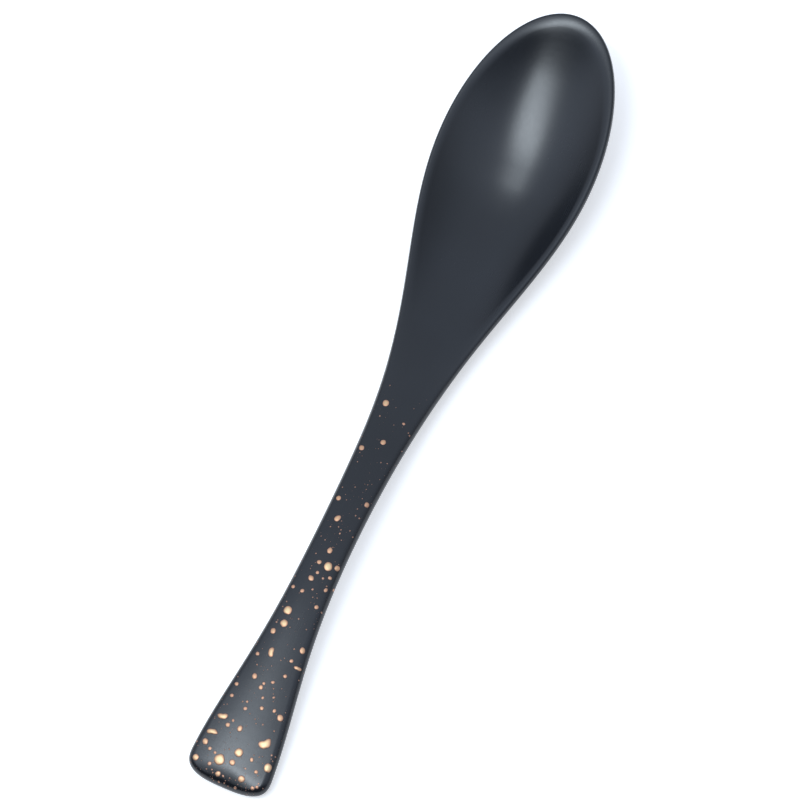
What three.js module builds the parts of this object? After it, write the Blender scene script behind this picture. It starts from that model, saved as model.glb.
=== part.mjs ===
import * as THREE from 'three';

// Lacquered wooden spoon, lying on its bowl and on the end of its handle.
// Millimetres. +X runs from the handle end to the bowl tip, +Y to the left, +Z up. Shapes are
// worked out with the handle end at x = 0, and the finished meshes are centred on the origin.
// Pieces: a carved wooden core, a lacquer coat over its front, a lacquer coat over
// its back, and the larger drops of gold paint spattered over the handle.

// Outline, seen from above
const LENGTH = 195;
const BOWL_WIDTH = 39.2;
const WAIST_WIDTH = 9.1;
const HANDLE_END_WIDTH = 20.2;
const BOWL_CENTRE = 159.5;
const BOWL_TAPER = 45;
const HANDLE_TAPER = 31;
const END_CAP = 5.2;
const END_SQUARENESS = 2.9;

// Side profile: height of the edge line of the spoon above the table
const BASE_HEIGHT = -1.6;
const ARCH_HEIGHT = 9;
const ARCH_CENTRE = 60;
const ARCH_SPREAD = 68;
const TIP_RISE = 18;
const END_DROOP = 0.4;
const DROOP_LENGTH = 16;

// Section: the front rolls over to the edge line, over a height and a width
const HANDLE_EDGE_HEIGHT = 1.5;
const HANDLE_EDGE_WIDTH = 1.5;
const BOWL_EDGE_HEIGHT = 1.15;
const BOWL_EDGE_WIDTH = 0.75;
const SIDE_LIP_WIDTH = 1.5;
const TIP_LIP_WIDTH = 2.4;
const SIDE_LIP_SOFTNESS = 0.7;
const TIP_LIP_SOFTNESS = 1;
const HANDLE_CROWN = 0.7;
const BOWL_DEPTH = 8.2;
const TIP_SHALLOWING = 0.2;
const DISH_FULLNESS = 2.2;
const HANDLE_BELLY = 3.05;
const BOWL_BELLY = 6.8;
const TIP_THINNING = 0.25;
const HANDLE_ROUNDNESS = 0.47;
const BOWL_ROUNDNESS = 0.7;

// Stretches, from the handle end, over which one shape turns into the next
const RISE = [85, 215];
const CROWN_FADE = [90, 125];
const NECK = [100, 150];
const DISH = [100, 155];
const BELLY = [104, 160];
const TIP_EASE = [145, 180];
const TIP_LIP = [165, 190];

// Coats and paint
const LACQUER = 0.3;
const PAINT_GAP = 0.03;
const PAINT_THICKNESS = 0.22;
const DROP_SIDES = 8;

// Spatter of paint over the handle: from SPATTER_START over SPATTER_REACH, densest at the start
const DROP_COUNT = 52;
const SMALLEST_DROP = 0.9;
const DROP_SPREAD = 0.75;
const DROP_STRETCH = 0.2;
const DROP_SPACING = 0.5;
const SPATTER_START = 2;
const SPATTER_REACH = 54;
const SPATTER_THINNING = 1.6;
const SPATTER_MARGIN = 1.3;
const SPATTER_SEED = 7;

// Mesh fineness
const TIP_STEPS = 11;
const SIDE_STEPS = 25;
const END_STEPS = 6;
const EDGE_STEPS = 4;
const FACE_FRACTIONS = [0, 0.25, 0.5, 0.75];
const LIP_MARGINS = [3.4, 2.3, 1.5];
const BACK_ANGLES = [10, 21, 33, 45, 57, 68, 79, 90];

const BOWL_HALF = BOWL_WIDTH / 2;
const WAIST_HALF = WAIST_WIDTH / 2;
const END_HALF = HANDLE_END_WIDTH / 2;
const BOWL_FRONT = LENGTH - BOWL_CENTRE;

// Smooth step from 0 to 1 over a stretch.
function ramp(x, [start, end]) {
  const u = THREE.MathUtils.clamp((x - start) / (end - start), 0, 1);
  return u * u * (3 - 2 * u);
}

function bell(x, centre, spread) {
  return Math.exp(-(((x - centre) / spread) ** 2));
}

function halfWidth(x) {
  const bowl = (BOWL_HALF - WAIST_HALF) * bell(x, BOWL_CENTRE, BOWL_TAPER);
  const flare = (END_HALF - WAIST_HALF) * bell(x, 0, HANDLE_TAPER);
  return WAIST_HALF + bowl + flare;
}

function edgeLine(x) {
  const arch = ARCH_HEIGHT * bell(x, ARCH_CENTRE, ARCH_SPREAD);
  const droop = END_DROOP * Math.max(1 - x / DROOP_LENGTH, 0) ** 2;
  return BASE_HEIGHT + arch + TIP_RISE * ramp(x, RISE) - droop;
}

function edgeHeight(x) {
  return THREE.MathUtils.lerp(HANDLE_EDGE_HEIGHT, BOWL_EDGE_HEIGHT, ramp(x, NECK));
}

function edgeWidth(x) {
  return THREE.MathUtils.lerp(HANDLE_EDGE_WIDTH, BOWL_EDGE_WIDTH, ramp(x, NECK));
}

// Falls from 1 by a share towards the tip of the bowl.
function eased(x, share) {
  return 1 - share * ramp(x, TIP_EASE);
}

function smoothMin(a, b, softness) {
  const h = THREE.MathUtils.clamp(0.5 + (0.5 * (b - a)) / softness, 0, 1);
  return b * (1 - h) + a * h - softness * h * (1 - h);
}

// Height of the front face; reach runs from 0 on the centreline to 1 on the edge.
function frontHeight(x, reach, half) {
  const crown = HANDLE_CROWN * (1 - ramp(x, CROWN_FADE)) * (1 - reach ** 2);
  const top = edgeLine(x) + edgeHeight(x) + crown;
  const lip = THREE.MathUtils.lerp(SIDE_LIP_WIDTH, TIP_LIP_WIDTH, ramp(x, TIP_LIP));
  const inward = reach / (1 - lip / Math.max(half, 2 * lip));
  const depth = BOWL_DEPTH * ramp(x, DISH) * eased(x, TIP_SHALLOWING);
  const softness = THREE.MathUtils.lerp(SIDE_LIP_SOFTNESS, TIP_LIP_SOFTNESS, ramp(x, TIP_LIP));
  const face = smoothMin(top, top - depth * (1 - inward ** DISH_FULLNESS), softness);
  const bend = THREE.MathUtils.clamp(1 - ((1 - reach) * half) / edgeWidth(x), 0, 1);
  return face - edgeHeight(x) * (1 - Math.sqrt(1 - bend ** 2));
}

// Height of the back face, which leaves the edge where the front ends and is flat on the table.
function backHeight(x, reach, half) {
  const edge = frontHeight(x, 1, half);
  const bowl = BOWL_BELLY * ramp(x, BELLY) * eased(x, TIP_THINNING);
  const belly = HANDLE_BELLY + bowl - (edgeLine(x) - edge);
  const roundness = THREE.MathUtils.lerp(HANDLE_ROUNDNESS, BOWL_ROUNDNESS, ramp(x, NECK));
  return Math.max(edge - belly * Math.max(1 - reach ** 2, 0) ** roundness, 0);
}

// Left half of the outline from tip to handle end: a foot on the centreline and a spoke to the edge.
function halfOutline() {
  const spokes = [];
  for (let i = 0; i <= TIP_STEPS; i += 1) {
    const angle = (Math.PI / 2) * (i / TIP_STEPS);
    spokes.push({ foot: BOWL_CENTRE, dx: BOWL_FRONT * Math.cos(angle), dy: BOWL_HALF * Math.sin(angle) });
  }
  spokes[TIP_STEPS].dx = 0;
  for (let i = 1; i <= SIDE_STEPS; i += 1) {
    const foot = BOWL_CENTRE + (END_CAP - BOWL_CENTRE) * (i / SIDE_STEPS);
    spokes.push({ foot, dx: 0, dy: halfWidth(foot) });
  }
  for (let i = 1; i <= END_STEPS; i += 1) {
    const angle = (Math.PI / 2) * (i / END_STEPS);
    const dx = -END_CAP * Math.sin(angle) ** (2 / END_SQUARENESS);
    const dy = halfWidth(END_CAP) * Math.max(Math.cos(angle), 0) ** (2 / END_SQUARENESS);
    spokes.push({ foot: END_CAP, dx, dy: i === END_STEPS ? 0 : dy });
  }
  return spokes;
}

function fullOutline() {
  const left = halfOutline();
  const right = left.slice(1, -1).reverse().map((s) => ({ foot: s.foot, dx: s.dx, dy: -s.dy }));
  return left.concat(right);
}

const spokes = fullOutline();

function lengthOf(spoke) {
  return Math.hypot(spoke.dx, spoke.dy);
}

function pointOn(spoke, reach, heightOf) {
  const x = spoke.foot + reach * spoke.dx;
  return new THREE.Vector3(x, reach * spoke.dy, heightOf(x, reach, lengthOf(spoke)));
}

// Rings of points from the centreline out to the edge, one point per spoke.
function frontRings() {
  const rings = [];
  const inner = LIP_MARGINS[0];
  for (const fraction of FACE_FRACTIONS) {
    rings.push((half) => fraction * (1 - inner / half));
  }
  for (const margin of LIP_MARGINS) {
    rings.push((half) => 1 - margin / half);
  }
  for (let k = EDGE_STEPS; k >= 0; k -= 1) {
    const angle = (Math.PI / 2) * (k / EDGE_STEPS);
    rings.push((half, width) => 1 - (width * (1 - Math.cos(angle))) / half);
  }
  return rings.map((reachOf) => spokes.map((spoke) => {
    const reach = reachOf(lengthOf(spoke), edgeWidth(spoke.foot + spoke.dx));
    return pointOn(spoke, reach, frontHeight);
  }));
}

function backRings() {
  return BACK_ANGLES.map((degrees) => {
    const reach = degrees === 90 ? 0 : Math.cos(THREE.MathUtils.degToRad(degrees));
    return spokes.map((spoke) => pointOn(spoke, reach, backHeight));
  });
}

// One shared list of outer points, so that equal corners are one vertex.
const outer = [];
const known = new Map();

function indexOf(point) {
  const key = [point.x, point.y, point.z].map((value) => Math.round(value * 1e4)).join(' ');
  if (!known.has(key)) {
    known.set(key, outer.length);
    outer.push(point);
  }
  return known.get(key);
}

// Triangles between neighbouring rings, leaving out the ones that close up to a line.
function skin(rings) {
  const ids = rings.map((ring) => ring.map(indexOf));
  const faces = [];
  const add = (a, b, c) => {
    if (a !== b && b !== c && c !== a) {
      faces.push([a, b, c]);
    }
  };
  for (let r = 0; r + 1 < ids.length; r += 1) {
    for (let i = 0; i < spokes.length; i += 1) {
      const j = (i + 1) % spokes.length;
      add(ids[r][i], ids[r + 1][i], ids[r + 1][j]);
      add(ids[r][i], ids[r + 1][j], ids[r][j]);
    }
  }
  return faces;
}

const front = frontRings();
const rim = front[front.length - 1];
const frontFaces = skin(front);
const backFaces = skin([rim, ...backRings()]);
const rimIds = rim.map(indexOf);

// The core's skin: the outer points moved inward by the thickness of the lacquer.
function insetPoints(faces, depth) {
  const normals = outer.map(() => new THREE.Vector3());
  const side = new THREE.Vector3();
  for (const [a, b, c] of faces) {
    const other = outer[c].clone().sub(outer[a]);
    side.copy(outer[b]).sub(outer[a]).cross(other);
    for (const id of [a, b, c]) {
      normals[id].add(side);
    }
  }
  return outer.map((point, id) => point.clone().addScaledVector(normals[id].normalize(), -depth));
}

const inner = insetPoints([...frontFaces, ...backFaces], LACQUER);

function reversed(faces) {
  return faces.map(([a, b, c]) => [c, b, a]);
}

// A mesh from triangles over a list of points.
function makeMesh(name, points, faces, material) {
  const used = new Map();
  const positions = [];
  const index = [];
  for (const face of faces) {
    for (const id of face) {
      if (!used.has(id)) {
        used.set(id, used.size);
        positions.push(points[id].x - LENGTH / 2, points[id].y, points[id].z);
      }
      index.push(used.get(id));
    }
  }
  const geometry = new THREE.BufferGeometry();
  geometry.setAttribute('position', new THREE.Float32BufferAttribute(positions, 3));
  geometry.setIndex(index);
  geometry.computeVertexNormals();
  const mesh = new THREE.Mesh(geometry, material);
  mesh.name = name;
  return mesh;
}

// A coat: outer skin, inner skin turned round, and the seam wall along the rim.
function coat(name, faces, seamUp, material) {
  const points = [...outer, ...inner];
  const shift = outer.length;
  const under = reversed(faces).map((face) => face.map((id) => id + shift));
  const wall = [];
  for (let i = 0; i < rimIds.length; i += 1) {
    const a = rimIds[i];
    const b = rimIds[(i + 1) % rimIds.length];
    wall.push([a, a + shift, b + shift], [a, b + shift, b]);
  }
  return makeMesh(name, points, [...faces, ...under, ...(seamUp ? reversed(wall) : wall)], material);
}

// Height of the faceted front skin straight above a point of the plan.
function skinHeight(x, y) {
  let best = -Infinity;
  for (const [a, b, c] of frontFaces) {
    const [p, q, s] = [outer[a], outer[b], outer[c]];
    const area = (q.x - p.x) * (s.y - p.y) - (s.x - p.x) * (q.y - p.y);
    const u = ((q.x - x) * (s.y - y) - (s.x - x) * (q.y - y)) / area;
    const v = ((s.x - x) * (p.y - y) - (p.x - x) * (s.y - y)) / area;
    const w = 1 - u - v;
    if (u >= -1e-9 && v >= -1e-9 && w >= -1e-9) {
      best = Math.max(best, u * p.z + v * q.z + w * s.z);
    }
  }
  return best;
}

// A flattened drop of paint hugging the front face.
function paintDrop(name, x, y, length, width, turn, material) {
  const angle = THREE.MathUtils.degToRad(turn);
  const at = (reach, step, lift) => {
    const around = (2 * Math.PI * step) / DROP_SIDES;
    const along = 0.5 * length * reach * Math.cos(around);
    const across = 0.5 * width * reach * Math.sin(around);
    const px = x + along * Math.cos(angle) - across * Math.sin(angle);
    const py = y + along * Math.sin(angle) + across * Math.cos(angle);
    return new THREE.Vector3(px, py, skinHeight(px, py) + PAINT_GAP + lift);
  };
  const thickness = PAINT_THICKNESS * Math.min(1, Math.sqrt(length * width) / 2);
  const points = [at(0, 0, 0), at(0, 0, thickness)];
  const faces = [];
  for (let step = 0; step < DROP_SIDES; step += 1) {
    points.push(at(0.6, step, 0), at(1, step, 0), at(0.7, step, 0.75 * thickness));
    const [low, edge, high] = [0, 1, 2].map((k) => 2 + 3 * step + k);
    const [nextLow, nextEdge, nextHigh] = [0, 1, 2].map((k) => 2 + 3 * ((step + 1) % DROP_SIDES) + k);
    faces.push([0, nextLow, low]);
    faces.push([low, nextLow, nextEdge], [low, nextEdge, edge]);
    faces.push([edge, nextEdge, nextHigh], [edge, nextHigh, high]);
    faces.push([1, high, nextHigh]);
  }
  return makeMesh(name, points, faces, material);
}

// Half width of the outline at a distance from the handle end, rounded corners included.
function edgeDistance(x) {
  if (x >= END_CAP) {
    return halfWidth(x);
  }
  const corner = ((END_CAP - x) / END_CAP) ** END_SQUARENESS;
  return halfWidth(END_CAP) * (1 - corner) ** (1 / END_SQUARENESS);
}

// The drops that catch the eye: millimetres from the handle end, place across from -1 on the
// right edge to 1 on the left edge, length, width, and turn from the X axis in degrees.
const LANDMARK_DROPS = [
  [3, -0.4, 1.6, 1.6, 0],
  [3.5, 0.8, 1.5, 1.5, 0],
  [5, 0.25, 2.5, 2.5, 0],
  [5.5, -0.05, 1.4, 1.4, 0],
  [7.5, -0.85, 2.2, 1.7, 10],
  [8, -0.1, 2, 2, 0],
  [10, 0.7, 1.4, 2.6, 10],
  [12, -0.6, 3, 2.2, -50],
  [14, 0.65, 2.6, 1.4, -75],
  [18.5, -0.75, 1.6, 1.4, 40],
  [30, -0.8, 0.9, 2, 0],
  [31, 0.25, 2.3, 1.4, 10],
  [34, -0.75, 1.5, 1.3, 30],
  [38, 0.3, 1.8, 1.8, 0],
  [41, 0.4, 2, 2, 0],
  [53.5, -0.4, 2, 2, 0],
  [54, -0.8, 1.3, 1.3, 0],
  [57, -0.15, 1.5, 1.2, 0],
  [64.5, 0.2, 1.7, 1.3, -20],
  [69, 0.6, 1.2, 1.2, 0],
  [70, -0.75, 1.2, 1.2, 0],
  [82, 0.65, 1.3, 1.3, 0],
  [85, -0.1, 1.3, 1.3, 0],
  [94, 0.5, 1.6, 1.6, 0],
];

// Repeatable random numbers from 0 to 1.
function randomSource(seed) {
  let state = seed;
  return () => {
    state = (Math.imul(state, 1664525) + 1013904223) >>> 0;
    return state / 2 ** 32;
  };
}

// The landmark drops and a spatter that thins out along the handle, sorted from the handle end.
function scatterDrops() {
  const drops = LANDMARK_DROPS.map(([x, across, length, width, turn]) => (
    { x, y: across * edgeDistance(x), length, width, turn }
  ));
  const random = randomSource(SPATTER_SEED);
  while (drops.length < DROP_COUNT) {
    const x = SPATTER_START + SPATTER_REACH * random() ** SPATTER_THINNING;
    const length = SMALLEST_DROP + DROP_SPREAD * random() ** 2;
    const width = length * (1 - DROP_STRETCH * random());
    const room = edgeDistance(x) - SPATTER_MARGIN;
    const y = room * (2 * random() - 1);
    const turn = 180 * random();
    const clear = drops.every((other) => {
      const reach = 0.5 * (Math.max(other.length, other.width) + length);
      return Math.hypot(other.x - x, other.y - y) > reach + DROP_SPACING;
    });
    if (clear) {
      drops.push({ x, y, length, width, turn });
    }
  }
  return drops.sort((a, b) => a.x - b.x);
}

const wood = new THREE.MeshStandardMaterial({ color: 0x9c6b3f, roughness: 0.75, metalness: 0 });
const lacquer = new THREE.MeshStandardMaterial({ color: 0x14171c, roughness: 0.3, metalness: 0 });
const gold = new THREE.MeshStandardMaterial({ color: 0xe0a266, roughness: 0.4, metalness: 0.8 });

const spoon = new THREE.Group();
spoon.name = 'painted_spoon';
spoon.add(makeMesh('wood_core', inner, [...frontFaces, ...backFaces], wood));
spoon.add(coat('lacquer_front', frontFaces, false, lacquer));
spoon.add(coat('lacquer_back', backFaces, true, lacquer));
scatterDrops().forEach(({ x, y, length, width, turn }, i) => {
  const name = `gold_fleck_${String(i + 1).padStart(2, '0')}`;
  spoon.add(paintDrop(name, x, y, length, width, turn, gold));
});

export default spoon;
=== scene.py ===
"""Looks for the painted lacquer spoon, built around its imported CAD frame.

Shapes are worked out in millimetres with the handle end at x = 0, as a person would measure the spoon,
and turned into metres in the row frame when a mesh is made. The two lacquer coats and the wooden core are
rebuilt as fine smooth skins, and every CAD drop of paint becomes a domed, slightly uneven dried drop.
"""

import math

import bpy
import numpy as np
from mathutils import Matrix, Vector
from mathutils.bvhtree import BVHTree


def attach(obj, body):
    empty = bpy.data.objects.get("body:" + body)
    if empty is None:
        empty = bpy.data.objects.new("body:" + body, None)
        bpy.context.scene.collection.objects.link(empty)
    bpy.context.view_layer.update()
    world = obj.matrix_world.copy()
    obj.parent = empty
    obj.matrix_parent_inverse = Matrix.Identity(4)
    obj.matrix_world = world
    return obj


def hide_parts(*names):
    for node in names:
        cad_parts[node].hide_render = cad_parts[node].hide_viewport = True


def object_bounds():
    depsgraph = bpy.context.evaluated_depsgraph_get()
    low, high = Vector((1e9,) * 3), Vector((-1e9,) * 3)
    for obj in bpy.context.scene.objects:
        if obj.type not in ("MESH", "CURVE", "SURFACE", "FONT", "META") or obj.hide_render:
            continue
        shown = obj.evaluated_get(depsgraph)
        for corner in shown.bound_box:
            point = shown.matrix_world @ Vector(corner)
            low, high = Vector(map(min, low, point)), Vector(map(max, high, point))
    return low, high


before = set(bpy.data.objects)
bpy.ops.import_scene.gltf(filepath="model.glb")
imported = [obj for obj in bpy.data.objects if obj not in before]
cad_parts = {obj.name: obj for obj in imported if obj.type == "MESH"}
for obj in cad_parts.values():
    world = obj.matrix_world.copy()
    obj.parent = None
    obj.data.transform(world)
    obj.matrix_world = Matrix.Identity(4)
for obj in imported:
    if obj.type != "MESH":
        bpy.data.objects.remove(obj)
cad_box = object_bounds()

MM = 0.001
LOW, HIGH = (np.array(corner) / MM for corner in cad_box)

# Outline, seen from above (mm)
LENGTH = HIGH[0] - LOW[0]
BOWL_HALF = (HIGH[1] - LOW[1]) / 2
WAIST_HALF = 4.55
END_HALF = 10.1
BOWL_CENTRE = 159.5
BOWL_TAPER = 45.0
HANDLE_TAPER = 31.0
END_CAP = 5.2
END_SQUARENESS = 2.9

# Side profile: height of the edge line of the spoon above the table (mm)
BASE_HEIGHT = -1.6
ARCH_HEIGHT = 9.0
ARCH_CENTRE = 60.0
ARCH_SPREAD = 68.0
TIP_RISE = 18.0
END_DROOP = 0.4
DROOP_LENGTH = 16.0

# Section (mm): the front rolls over to the edge line, over a height and a width
HANDLE_EDGE_HEIGHT = 1.5
HANDLE_EDGE_WIDTH = 1.5
BOWL_EDGE_HEIGHT = 1.15
BOWL_EDGE_WIDTH = 0.75
SIDE_LIP_WIDTH = 1.5
TIP_LIP_WIDTH = 2.4
SIDE_LIP_SOFTNESS = 0.7
TIP_LIP_SOFTNESS = 1.0
HANDLE_CROWN = 0.7
BOWL_DEPTH = 8.2
TIP_SHALLOWING = 0.2
DISH_FULLNESS = 2.2
HANDLE_BELLY = 3.05
BOWL_BELLY = 6.8
TIP_THINNING = 0.25
HANDLE_ROUNDNESS = 0.47
BOWL_ROUNDNESS = 0.7
REST_SOFTNESS = 0.25

# Stretches, from the handle end, over which one shape turns into the next (mm)
RISE = (85, 215)
CROWN_FADE = (90, 125)
NECK = (100, 150)
DISH = (100, 155)
BELLY = (104, 160)
TIP_EASE = (145, 180)
TIP_LIP = (165, 190)

# Coats (mm): the outer skin keeps a hair inside the CAD box, and the core a hair inside the coats
SKIN_INSET = 0.012
LACQUER = 0.3
CORE_GAP = 0.01

# Mesh fineness; points that agree to WELD_DIGITS decimals of a millimetre become one
WELD_DIGITS = 4
TIP_STEPS = 52
SIDE_STEPS = 190
END_STEPS = 34
FACE_STEPS = 26
LIP_SPAN = 3.6
LIP_STEPS = 9
EDGE_STEPS = 10
BACK_STEPS = 30

# Paint (mm): film on a full-size drop, and how far its underside is sunk into the lacquer
FILM = 0.16
FILM_FULL_SIZE = 2.0
SUNK = 0.03

# Shape of a drop: shares of its half length or width, and the powers that its dome and film fall by
ELONGATED = 1.35
WAVE_SIZE = 0.07
WAVE_COUNTS = (2, 3, 4, 5)
PINCH = (0.1, 0.3)
PINCH_SPREAD = 0.35
CURL = (0.1, 0.4)
CURL_CENTRING = 0.3
LEAN = 0.12
DOME_FLATNESS = 2.4
DOME_EDGE = 0.62
FILM_FALL = 3
UNDER_RING = 0.5

# Spatter (mm) between the CAD drops; a skew over 1 makes small sizes more common
SMALL_DROP_COUNT = 46
SMALL_DROP_SIZES = (0.45, 0.85)
SMALL_DROP_SKEW = 1.3
MIST_COUNT = 430
MIST_SIZES = (0.12, 0.46)
MIST_SKEW = 2.2
SPATTER_START = 0.4
SPATTER_REACH = 98.0
SPATTER_THINNING = 1.9
SPATTER_WIDTH = 0.985
SPATTER_NARROWEST = 0.75
SPATTER_CLEARANCE = 0.6
BACK_SHARE = 0.22
PAINT_SEED = 21

# Fineness of a drop: its rings, as reach from 0 in the middle to 1 at the edge, and its sides
LARGE_RINGS = (0.22, 0.42, 0.6, 0.75, 0.87, 0.95, 1.0)
SMALL_RINGS = (0.4, 0.75, 0.93, 1.0)
MIST_RINGS = (0.6, 1.0)
LARGE_SIDES = 36
SMALL_SIDES = 18
MIST_SIDES = 10


# --- Shape of the spoon -------------------------------------------------------------------------


def ramp(x, stretch, before=0, after=1):
    """Smooth step over a stretch, from the value before it to the value after it."""
    start, end = stretch
    u = np.clip((x - start) / (end - start), 0, 1)
    return before + (after - before) * u * u * (3 - 2 * u)


def bell(x, centre, spread):
    return np.exp(-(((x - centre) / spread) ** 2))


def smooth_min(a, b, softness):
    h = np.clip(0.5 + 0.5 * (b - a) / softness, 0, 1)
    return b * (1 - h) + a * h - softness * h * (1 - h)


def half_width(x):
    bowl = (BOWL_HALF - WAIST_HALF) * bell(x, BOWL_CENTRE, BOWL_TAPER)
    flare = (END_HALF - WAIST_HALF) * bell(x, 0, HANDLE_TAPER)
    return WAIST_HALF + bowl + flare


def edge_distance(x):
    """Half width of the outline at x, with the rounded corners of the handle end."""
    corner = np.clip((END_CAP - x) / END_CAP, 0, 1) ** END_SQUARENESS
    return half_width(max(x, END_CAP)) * (1 - corner) ** (1 / END_SQUARENESS)


def edge_line(x):
    arch = ARCH_HEIGHT * bell(x, ARCH_CENTRE, ARCH_SPREAD)
    droop = END_DROOP * np.clip(1 - x / DROOP_LENGTH, 0, 1) ** 2
    return BASE_HEIGHT + arch + TIP_RISE * ramp(x, RISE) - droop


def edge_height(x):
    return ramp(x, NECK, HANDLE_EDGE_HEIGHT, BOWL_EDGE_HEIGHT)


def edge_width(x):
    return ramp(x, NECK, HANDLE_EDGE_WIDTH, BOWL_EDGE_WIDTH)


def front_height(x, reach, half):
    """Height of the front face; reach runs from 0 on the centreline to 1 on the edge."""
    top = edge_line(x) + edge_height(x) + ramp(x, CROWN_FADE, HANDLE_CROWN, 0) * (1 - reach**2)
    lip = ramp(x, TIP_LIP, SIDE_LIP_WIDTH, TIP_LIP_WIDTH)
    inward = reach / (1 - lip / np.maximum(half, 2 * lip))
    depth = BOWL_DEPTH * ramp(x, DISH) * ramp(x, TIP_EASE, 1, 1 - TIP_SHALLOWING)
    softness = ramp(x, TIP_LIP, SIDE_LIP_SOFTNESS, TIP_LIP_SOFTNESS)
    face = smooth_min(top, top - depth * (1 - inward**DISH_FULLNESS), softness)
    bend = np.clip(1 - (1 - reach) * half / edge_width(x), 0, 1)
    return face - edge_height(x) * (1 - np.sqrt(1 - bend**2))


def back_height(x, reach, half):
    """Height of the back face, which leaves the edge where the front ends and is flat on the table."""
    edge = front_height(x, 1.0, half)
    bowl = BOWL_BELLY * ramp(x, BELLY) * ramp(x, TIP_EASE, 1, 1 - TIP_THINNING)
    belly = HANDLE_BELLY + bowl - (edge_line(x) - edge)
    drop = belly * np.clip(1 - reach**2, 0, 1) ** ramp(x, NECK, HANDLE_ROUNDNESS, BOWL_ROUNDNESS)
    return -smooth_min(drop - edge, 0, REST_SOFTNESS)


def outline():
    """Feet on the centreline and the spokes from them to the edge, all the way round."""
    angles = np.linspace(0, math.pi / 2, TIP_STEPS + 1)
    tip = [(BOWL_CENTRE, (LENGTH - BOWL_CENTRE) * math.cos(a), BOWL_HALF * math.sin(a)) for a in angles]
    tip[-1] = (BOWL_CENTRE, 0.0, BOWL_HALF)
    feet = np.linspace(BOWL_CENTRE, END_CAP, SIDE_STEPS + 1)[1:]
    side = [(foot, 0.0, half_width(foot)) for foot in feet]
    power = 2 / END_SQUARENESS
    end = []
    for step in range(1, END_STEPS + 1):
        a = math.pi / 2 * step / END_STEPS
        across = half_width(END_CAP) * max(math.cos(a), 0) ** power if step < END_STEPS else 0.0
        end.append((END_CAP, -END_CAP * math.sin(a) ** power, across))
    left = tip + side + end
    right = [(foot, dx, -dy) for foot, dx, dy in reversed(left[1:-1])]
    return np.array(left + right)


SPOKES = outline()
FOOT, SPOKE_X, SPOKE_Y = SPOKES.T
HALF = np.hypot(SPOKE_X, SPOKE_Y)


def ring(reach, height):
    x = FOOT + reach * SPOKE_X
    return np.column_stack([x, reach * SPOKE_Y, height(x, reach, HALF)])


def front_rings():
    """Rings over the open face, then closer ones over the lip, then round the edge."""
    width = edge_width(FOOT + SPOKE_X)
    face = np.linspace(0, 1, FACE_STEPS, endpoint=False)
    lip = np.linspace(0, 1, LIP_STEPS, endpoint=False)
    edge = np.linspace(math.pi / 2, 0, EDGE_STEPS + 1)
    reaches = [s * (1 - LIP_SPAN / HALF) for s in face]
    reaches += [1 - (LIP_SPAN + (width - LIP_SPAN) * s) / HALF for s in lip]
    reaches += [1 - width * (1 - math.cos(a)) / HALF for a in edge]
    return [ring(reach, front_height) for reach in reaches]


def back_rings():
    angles = np.linspace(0, math.pi / 2, BACK_STEPS + 1)[1:]
    return [ring(0.0 if a == angles[-1] else math.cos(a), back_height) for a in angles]


def weld(rings):
    """One list of points for all rings, and each ring as numbers into it."""
    every = np.concatenate(rings)
    rounded = np.round(every, WELD_DIGITS)
    _, first, ids = np.unique(rounded, axis=0, return_index=True, return_inverse=True)
    return every[first], ids.reshape(len(rings), -1)


def faces_between(rings):
    """Quads between neighbouring rings, or triangles where a quad closes up."""
    faces = []
    for near, far in zip(rings[:-1], rings[1:]):
        for i in range(len(near)):
            j = (i + 1) % len(near)
            corners = list(dict.fromkeys([near[i], far[i], far[j], near[j]]))
            if len(corners) > 2:
                faces.append(corners)
    return faces


def row_frame(points):
    """Points in millimetres from the handle end, as metres in the row frame."""
    return (np.asarray(points) + [LOW[0], 0, 0]) * MM


def skin_normals(points, faces):
    mesh = bpy.data.meshes.new("skin")
    mesh.from_pydata([tuple(p) for p in points], [], faces)
    normals = np.array([v.normal for v in mesh.vertices])
    bpy.data.meshes.remove(mesh)
    return normals


front = front_rings()
skin, ring_ids = weld(front + back_rings())
front_ids = ring_ids[: len(front)]
back_ids = ring_ids[len(front) - 1 :]
rim_ids = front_ids[-1]
FRONT_FACES = faces_between(front_ids)
BACK_FACES = faces_between(back_ids)
NORMALS = skin_normals(skin, FRONT_FACES + BACK_FACES)
OUTER = skin - NORMALS * SKIN_INSET
INNER = skin - NORMALS * LACQUER
CORE = skin - NORMALS * (LACQUER + CORE_GAP)


# --- Materials ----------------------------------------------------------------------------------


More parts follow.
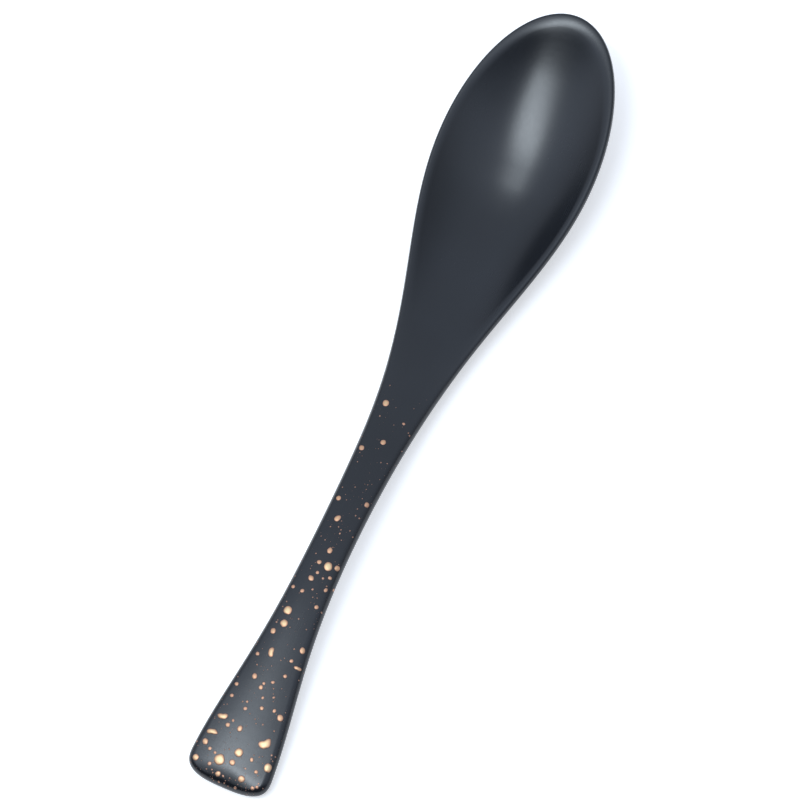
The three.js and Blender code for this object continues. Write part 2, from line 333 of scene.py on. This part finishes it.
class Pattern:
    """A node tree with short ways to add what the materials here need."""

    def __init__(self, owner):
        owner.use_nodes = True
        self.tree = owner.node_tree
        self.tree.nodes.clear()

    def add(self, kind, inputs=None, **settings):
        node = self.tree.nodes.new(kind)
        for name, value in settings.items():
            setattr(node, name, value)
        for key, value in (inputs or {}).items():
            if isinstance(value, bpy.types.NodeSocket):
                self.tree.links.new(value, node.inputs[key])
            else:
                node.inputs[key].default_value = value
        return node

    def place(self, stretch=(1, 1, 1)):
        """Metres in the row frame, stretched."""
        spot = self.add("ShaderNodeTexCoord").outputs["Object"]
        return self.add("ShaderNodeMapping", {"Vector": spot, "Scale": stretch}).outputs["Vector"]

    def noise(self, size, detail=3.0, stretch=(1, 1, 1), roughness=0.5):
        """Cloudy noise with blotches about size metres across."""
        inputs = {"Vector": self.place(stretch), "Scale": 1 / size}
        inputs |= {"Detail": detail, "Roughness": roughness}
        return self.add("ShaderNodeTexNoise", inputs).outputs["Fac"]

    def spread(self, value, low, high, start=0.3, end=0.7):
        """The value's range from start to end, as low to high."""
        inputs = {"Value": value, "From Min": start, "From Max": end, "To Min": low, "To Max": high}
        return self.add("ShaderNodeMapRange", inputs).outputs["Result"]

    def sum(self, a, b):
        return self.add("ShaderNodeMath", {0: a, 1: b}, operation="ADD").outputs[0]

    def times(self, a, b):
        return self.add("ShaderNodeMath", {0: a, 1: b}, operation="MULTIPLY").outputs[0]

    def ramp(self, value, stops):
        node = self.add("ShaderNodeValToRGB", {"Fac": value})
        bar = node.color_ramp
        while len(bar.elements) < len(stops):
            bar.elements.new(0.5)
        for element, (position, colour) in zip(bar.elements, stops):
            element.position = position
            element.color = (*colour, 1)
        return node.outputs["Color"]

    def mix(self, amount, a, b):
        node = self.add("ShaderNodeMix", {"Factor": amount}, data_type="RGBA")
        for socket, value in ((node.inputs[6], a), (node.inputs[7], b)):
            if isinstance(value, bpy.types.NodeSocket):
                self.tree.links.new(value, socket)
            else:
                socket.default_value = (*value, 1)
        return node.outputs[2]

    def bump(self, height, depth, below=None):
        """Relief of depth metres for a height from 0 to 1."""
        inputs = {"Height": height, "Distance": depth, "Strength": 1.0}
        if below is not None:
            inputs["Normal"] = below
        return self.add("ShaderNodeBump", inputs).outputs["Normal"]

    def surface(self, **inputs):
        shader = self.add("ShaderNodeBsdfPrincipled", {k.replace("_", " "): v for k, v in inputs.items()})
        out = self.add("ShaderNodeOutputMaterial")
        self.tree.links.new(shader.outputs["BSDF"], out.inputs["Surface"])


def grey(value):
    return (value, value, value)


def new_material(name):
    material = bpy.data.materials.new(name)
    return material, Pattern(material)


def lacquer_material():
    """Blue-black lacquer, rubbed to a satin gloss along the spoon."""
    material, p = new_material("black_lacquer")
    cloud = p.noise(0.022, detail=4)
    tone = p.ramp(p.spread(cloud, 0, 1), [(0, (0.0052, 0.0062, 0.0082)), (1, (0.0085, 0.0102, 0.0135))])
    rubbed = p.noise(0.00045, detail=3, stretch=(0.04, 1, 1))
    roughness = p.sum(p.spread(cloud, 0.235, 0.265), p.spread(rubbed, -0.01, 0.015))
    waves = p.bump(p.noise(0.016, detail=1), 0.00003)
    peel = p.bump(p.noise(0.0013, detail=2), 0.0000045, waves)
    grain = p.bump(rubbed, 0.0000005, peel)
    p.surface(Base_Color=tone, Roughness=roughness, Normal=grain, IOR=1.5)
    return material


def gold_material():
    """Copper-gold bronze paint: paler in some drops, redder where the film thins at a drop's edge."""
    material, p = new_material("copper_gold_paint")
    film = p.add("ShaderNodeAttribute", attribute_name="film").outputs["Fac"]
    drifts = p.spread(p.noise(0.0042, detail=1), -0.16, 0.16)
    specks = p.spread(p.noise(0.0005, detail=2), -0.08, 0.08)
    colour = p.ramp(p.sum(film, p.times(film, p.sum(drifts, specks))), [
        (0, (0.12, 0.065, 0.05)),
        (0.12, (0.32, 0.17, 0.12)),
        (0.35, (0.54, 0.28, 0.17)),
        (0.7, (0.66, 0.40, 0.22)),
        (1, (0.74, 0.55, 0.30)),
    ])
    flake = p.noise(0.00012, detail=2)
    roughness = p.spread(flake, 0.36, 0.5)
    relief = p.bump(flake, 0.000004, p.bump(p.noise(0.0006, detail=1), 0.00002))
    p.surface(Base_Color=colour, Roughness=roughness, Normal=relief, Metallic=0.6, IOR=1.5)
    return material


def wood_material():
    """Close-grained turning wood, with its grain along the spoon."""
    material, p = new_material("carved_wood")
    bend = p.noise(0.03, detail=2, stretch=(0.25, 1, 1))
    rings = p.noise(0.0016, detail=4, stretch=(0.03, 1, 1), roughness=0.6)
    pores = p.noise(0.00022, detail=2, stretch=(0.05, 1, 1))
    figure = p.sum(p.times(bend, 0.4), p.times(rings, 0.6))
    colour = p.ramp(p.spread(figure, 0, 1), [
        (0, (0.24, 0.12, 0.05)),
        (0.5, (0.42, 0.24, 0.11)),
        (1, (0.56, 0.36, 0.19)),
    ])
    roughness = p.spread(pores, 0.62, 0.8)
    p.surface(Base_Color=colour, Roughness=roughness, Normal=p.bump(pores, 0.00003), IOR=1.5)
    return material


LACQUER_COAT = lacquer_material()
GOLD_PAINT = gold_material()
WOOD = wood_material()


# --- Pieces -------------------------------------------------------------------------------------


def add_piece(name, points, faces, material, nodes=(), normals=None, film=None):
    """A closed mesh from points in millimetres, riding with the spoon in place of the named CAD nodes."""
    used = sorted({i for face in faces for i in face})
    number = {old: new for new, old in enumerate(used)}
    mesh = bpy.data.meshes.new(name)
    corners = [[number[i] for i in face] for face in faces]
    mesh.from_pydata([tuple(p) for p in row_frame(points)[used]], [], corners)
    mesh.materials.append(material)
    mesh.shade_smooth()
    if normals is not None:
        mesh.normals_split_custom_set_from_vertices([tuple(n) for n in normals[used]])
    if film is not None:
        mesh.attributes.new("film", "FLOAT", "POINT").data.foreach_set("value", np.array(film, np.float32))
    piece = bpy.data.objects.new(name, mesh)
    bpy.context.scene.collection.objects.link(piece)
    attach(piece, "root")
    if nodes:
        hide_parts(*nodes)
    return piece


def add_coat(name, faces, wall_turn, node):
    """Outer skin, inner skin turned round, and the wall between them along the rim."""
    shift = len(OUTER)
    under = [[i + shift for i in reversed(face)] for face in faces]
    wall = []
    for a, b in zip(rim_ids, np.roll(rim_ids, -1)):
        wall.append([a, a + shift, b + shift, b][::wall_turn])
    points = np.concatenate([OUTER, INNER])
    normals = np.concatenate([NORMALS, -NORMALS])
    add_piece(name, points, faces + under + wall, LACQUER_COAT, [node], normals)


add_coat("front_coat", FRONT_FACES, 1, "lacquer_front")
add_coat("back_coat", BACK_FACES, -1, "lacquer_back")
add_piece("carved_core", CORE, FRONT_FACES + BACK_FACES, WOOD, ["wood_core"], NORMALS)


# --- Paint --------------------------------------------------------------------------------------

SURFACE = BVHTree.FromPolygons([Vector(p) for p in OUTER], FRONT_FACES + BACK_FACES)
FAR = 100.0


class DropShape:
    """Outline and dome of one dried drop: reach from 0 in the middle to 1 at its edge."""

    def __init__(self, rng, elongated):
        self.waves = []
        for count in WAVE_COUNTS:
            size = WAVE_SIZE / count * rng.normal()
            phase = rng.uniform(0, 2 * math.pi)
            self.waves.append((count, size, phase))
        self.pinch = rng.uniform(*PINCH) if elongated else 0.0
        self.curl = rng.choice([-1, 1]) * rng.uniform(*CURL) if elongated else 0.0
        self.lean = rng.uniform(-LEAN, LEAN, 2)

    def plan(self, reach, angle):
        swell = 1 + sum(size * math.sin(count * angle + phase) for count, size, phase in self.waves)
        along = reach * swell * math.cos(angle)
        waist = 1 - self.pinch * math.exp(-((along / PINCH_SPREAD) ** 2))
        across = reach * swell * math.sin(angle) * waist
        return along, across + self.curl * (along**2 - CURL_CENTRING * reach)

    def rise(self, reach, angle):
        dome = (1 - reach**DOME_FLATNESS) ** DOME_EDGE
        return dome * (1 + reach * (self.lean[0] * math.cos(angle) + self.lean[1] * math.sin(angle)))


def add_drop(paint, centre, normal, length, width, turn, shape, rings, sides):
    """Adds one closed drop to paint, a dict of points, faces and film, following the lacquer."""
    along = Vector((1, 0, 0)) - normal * normal.x
    along.normalize()
    along.rotate(Matrix.Rotation(turn, 3, normal))
    across = normal.cross(along)
    fullness = min(1, math.sqrt(length * width) / FILM_FULL_SIZE)
    film = FILM * fullness

    def at(reach, angle, lift):
        a, b = shape.plan(reach, angle)
        flat = centre + along * (a * length / 2) + across * (b * width / 2)
        spot, up, _, _ = SURFACE.find_nearest(flat)
        return spot + up * lift

    start = len(paint["points"])
    points = [at(0, 0, film), at(0, 0, -SUNK)]
    films = [fullness, 0.0]
    levels = [(reach, True) for reach in rings] + [(1.0, False), (UNDER_RING, False)]
    for reach, on_top in levels:
        for step in range(sides):
            angle = 2 * math.pi * step / sides
            lift = film * shape.rise(reach, angle) if on_top else -SUNK
            points.append(at(reach, angle, lift))
            films.append(fullness * (1 - reach**FILM_FALL) if on_top else 0.0)
    first = start + 2
    for step in range(sides):
        after = (step + 1) % sides
        paint["faces"].append([start, first + step, first + after])
        for level in range(len(levels) - 1):
            near, far = first + level * sides, first + (level + 1) * sides
            paint["faces"].append([near + step, far + step, far + after, near + after])
        last = first + (len(levels) - 1) * sides
        paint["faces"].append([start + 1, last + after, last + step])
    paint["points"].extend(tuple(p) for p in points)
    paint["film"].extend(films)


def new_paint():
    return {"points": [], "faces": [], "film": []}


def add_paint_piece(name, paint, nodes=()):
    add_piece(name, paint["points"], paint["faces"], GOLD_PAINT, nodes, film=paint["film"])


def ground_under(x, y, front=True):
    """Where a ray straight down, or straight up for the back, meets the lacquer, and its normal."""
    way = -1 if front else 1
    spot, up, _, _ = SURFACE.ray_cast(Vector((x, y, -way * FAR)), Vector((0, 0, way)))
    return spot, up


def measure(node):
    """Centre, length, width and turn of a CAD drop, from its own corners."""
    corners = np.array([v.co for v in node.data.vertices]) / MM - [LOW[0], 0, 0]
    plan = corners[:, :2]
    centre = (plan.min(axis=0) + plan.max(axis=0)) / 2
    _, axes = np.linalg.eigh(np.cov((plan - centre).T))
    spread = (plan - centre) @ axes
    width, length = np.ptp(spread, axis=0)
    return centre, length, width, math.atan2(axes[1, 1], axes[0, 1])


def paint_cad_drops(rng):
    """One fine drop for every CAD drop; returns where they are and how large."""
    placed = []
    for name in sorted(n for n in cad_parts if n.startswith("gold_fleck_")):
        centre, length, width, turn = measure(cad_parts[name])
        shape = DropShape(rng, length > ELONGATED * width)
        spot, up = ground_under(*centre)
        paint = new_paint()
        add_drop(paint, spot, up, length, width, turn, shape, LARGE_RINGS, LARGE_SIDES)
        add_paint_piece(name.replace("gold_fleck", "paint_drop"), paint, [name])
        placed.append((spot, length / 2))
    return placed


def inside_box(points):
    """Whether points in millimetres from the handle end are all in the CAD box."""
    centred = np.array(points) + [LOW[0], 0, 0]
    return bool(np.all(centred >= LOW) and np.all(centred <= HIGH))


def spatter(name, rng, placed, count, sizes, skew, rings, sides):
    """Small drops in one piece, thinning out along the handle and kept clear of what is placed."""
    paint = new_paint()
    made = 0
    while made < count:
        x = SPATTER_START + SPATTER_REACH * rng.random() ** SPATTER_THINNING
        size = sizes[0] + (sizes[1] - sizes[0]) * rng.random() ** skew
        stretch = rng.uniform(SPATTER_NARROWEST, 1)
        turn = rng.uniform(0, math.pi)
        y = edge_distance(x) * SPATTER_WIDTH * rng.uniform(-1, 1)
        spot, up = ground_under(x, y, rng.random() > BACK_SHARE)
        shape = DropShape(rng, False)
        room = SPATTER_CLEARANCE * size
        if spot is None or any((spot - other).length < reach + room for other, reach in placed):
            continue
        trial = new_paint()
        add_drop(trial, spot, up, size, size * stretch, turn, shape, rings, sides)
        if not inside_box(trial["points"]):
            continue
        shift = len(paint["points"])
        paint["points"] += trial["points"]
        paint["film"] += trial["film"]
        paint["faces"] += [[i + shift for i in face] for face in trial["faces"]]
        placed.append((spot, size / 2))
        made += 1
    add_paint_piece(name, paint)


rng = np.random.default_rng(PAINT_SEED)
placed = paint_cad_drops(rng)
small = (SMALL_DROP_COUNT, SMALL_DROP_SIZES, SMALL_DROP_SKEW, SMALL_RINGS, SMALL_SIDES)
mist = (MIST_COUNT, MIST_SIZES, MIST_SKEW, MIST_RINGS, MIST_SIDES)
spatter("small_drops", rng, placed, *small)
spatter("paint_mist", rng, placed, *mist)


# --- Studio -------------------------------------------------------------------------------------

FLOOR_REACH = 6.0
FLOOR_GLOW = 0.5
SKY_SKEW = 0.22
BOWL_MIDDLE = Vector((0.066, 0.0, 0.008))
LIGHT_DISTANCE = 5.0
KEY_WAY = Vector((-0.243, 0.17, 0.95))
KEY_SIZE = (0.8, 3.0)
KEY_LEAN = math.radians(19)
KEY_GLOW = 13.5
KEY_TINT = (0.84, 0.93, 1.0)
HALO_WAY = Vector((-0.21, 0.22, 0.95))
HALO_SIZE = (1.7, 4.8)
HALO_LEAN = math.radians(14)
HALO_GLOW = 0.8
HALO_TINT = (0.85, 0.94, 1.0)

VIEW_DISTANCE = 0.8
VIEW_PITCH = math.radians(16)
VIEW_ROLL = math.radians(17)
VIEW_TURN = math.radians(25.93)
LENS = 159.4
SENSOR = 36.0
AIM_HEIGHT = 0.008
AIM_LEFT = 0.00104
AIM_DOWN = 0.00141


def add_floor():
    corners = [(-1, -1), (1, -1), (1, 1), (-1, 1)]
    mesh = bpy.data.meshes.new("floor")
    height = cad_box[0].z
    mesh.from_pydata([(FLOOR_REACH * x, FLOOR_REACH * y, height) for x, y in corners], [], [(0, 1, 2, 3)])
    material, p = new_material("pale_floor")
    cloud = p.noise(0.4, detail=2)
    tone = p.ramp(p.spread(cloud, 0, 1), [(0, grey(0.80)), (1, grey(0.83))])
    glow = {"Emission_Color": (1, 1, 1, 1), "Emission_Strength": FLOOR_GLOW}
    p.surface(Base_Color=tone, Roughness=p.spread(cloud, 0.7, 0.8), IOR=1.4, **glow)
    mesh.materials.append(material)
    floor = bpy.data.objects.new("floor", mesh)
    bpy.context.scene.collection.objects.link(floor)


def add_world():
    """White to the camera. In reflections it dims towards the horizon, is brightest a little to the
    handle's side of overhead and turns dark beyond that. It is brighter low on the left than on the
    right, and on the right the bright part lies nearer the tip."""
    world = bpy.data.worlds.new("studio")
    bpy.context.scene.world = world
    p = Pattern(world)
    way = p.add("ShaderNodeTexCoord").outputs["Generated"]
    parts = p.add("ShaderNodeSeparateXYZ", {0: way})
    sky = p.ramp(parts.outputs["Z"], [
        (0, (0.22, 0.23, 0.25)),
        (0.3, (0.51, 0.57, 0.68)),
        (0.7, (0.73, 0.84, 1.02)),
        (1, (0.79, 0.90, 1.09)),
    ])
    right = p.add("ShaderNodeMath", {0: parts.outputs["Y"], 1: 0.0}, operation="MINIMUM").outputs[0]
    towards_tip = p.sum(parts.outputs["X"], p.times(right, SKY_SKEW))
    along = p.ramp(p.spread(towards_tip, 0, 1, -1, 1), [
        (0.17, grey(0.1)),
        (0.28, grey(0.2)),
        (0.33, grey(1.2)),
        (0.38, grey(1.55)),
        (0.46, grey(1.4)),
        (0.52, grey(1.15)),
        (0.65, grey(1.0)),
    ])
    across = p.ramp(p.spread(parts.outputs["Y"], 0, 1, -1, 1), [
        (0.12, grey(0.85)),
        (0.35, grey(1.0)),
        (0.65, grey(1.0)),
        (0.9, grey(1.1)),
    ])
    sides = p.add("ShaderNodeVectorMath", {0: along, 1: across}, operation="MULTIPLY").outputs[0]
    shaded = p.add("ShaderNodeVectorMath", {0: sky, 1: sides}, operation="MULTIPLY").outputs[0]
    seen = p.add("ShaderNodeLightPath").outputs["Is Camera Ray"]
    colour = p.mix(seen, shaded, (1.0, 1.0, 1.0))
    glow = p.add("ShaderNodeBackground", {"Color": colour, "Strength": 1.0})
    out = p.add("ShaderNodeOutputWorld")
    p.tree.links.new(glow.outputs[0], out.inputs["Surface"])


def add_softbox(name, way, size, lean, glow, tint):
    """An oval softbox facing the bowl, glow times as bright as white. It is long across the spoon,
    with its left end turned towards the tip by the lean."""
    spot = BOWL_MIDDLE + way.normalized() * LIGHT_DISTANCE
    data = bpy.data.lights.new(name, "AREA")
    data.shape = "ELLIPSE"
    data.size, data.size_y = size
    data.energy = glow * math.pi * size[0] * size[1] * math.pi / 4
    data.color = tint
    light = bpy.data.objects.new(name, data)
    light.location = spot
    light.rotation_mode = "QUATERNION"
    facing = (spot - BOWL_MIDDLE).normalized()
    long_way = Vector((math.sin(lean), math.cos(lean), 0.0))
    across = long_way.cross(facing).normalized()
    light.rotation_quaternion = Matrix((across, facing.cross(across), facing)).transposed().to_quaternion()
    light.visible_camera = False
    bpy.context.scene.collection.objects.link(light)


def add_camera():
    """Above the spoon, leaning towards its handle end and its right side, turned on the lens axis."""
    back = Vector((
        -math.sin(VIEW_PITCH),
        -math.tan(VIEW_ROLL) * math.cos(VIEW_PITCH),
        math.cos(VIEW_PITCH),
    )).normalized()
    level_up = (Vector((1, 0, 0)) - back * back.x).normalized()
    level_right = level_up.cross(back)
    up = level_up * math.cos(VIEW_TURN) - level_right * math.sin(VIEW_TURN)
    right = level_right * math.cos(VIEW_TURN) + level_up * math.sin(VIEW_TURN)
    aim = Vector((0, 0, AIM_HEIGHT)) - right * AIM_LEFT - up * AIM_DOWN
    data = bpy.data.cameras.new("camera")
    data.lens = LENS
    data.sensor_width = SENSOR
    camera = bpy.data.objects.new("camera", data)
    turn = Matrix((right, up, back)).transposed().to_4x4()
    camera.matrix_world = Matrix.Translation(aim + back * VIEW_DISTANCE) @ turn
    bpy.context.scene.collection.objects.link(camera)
    bpy.context.scene.camera = camera


add_floor()
add_world()
add_softbox("key_softbox", KEY_WAY, KEY_SIZE, KEY_LEAN, KEY_GLOW, KEY_TINT)
add_softbox("halo_softbox", HALO_WAY, HALO_SIZE, HALO_LEAN, HALO_GLOW, HALO_TINT)
add_camera()
bpy.context.scene.view_settings.view_transform = "Standard"
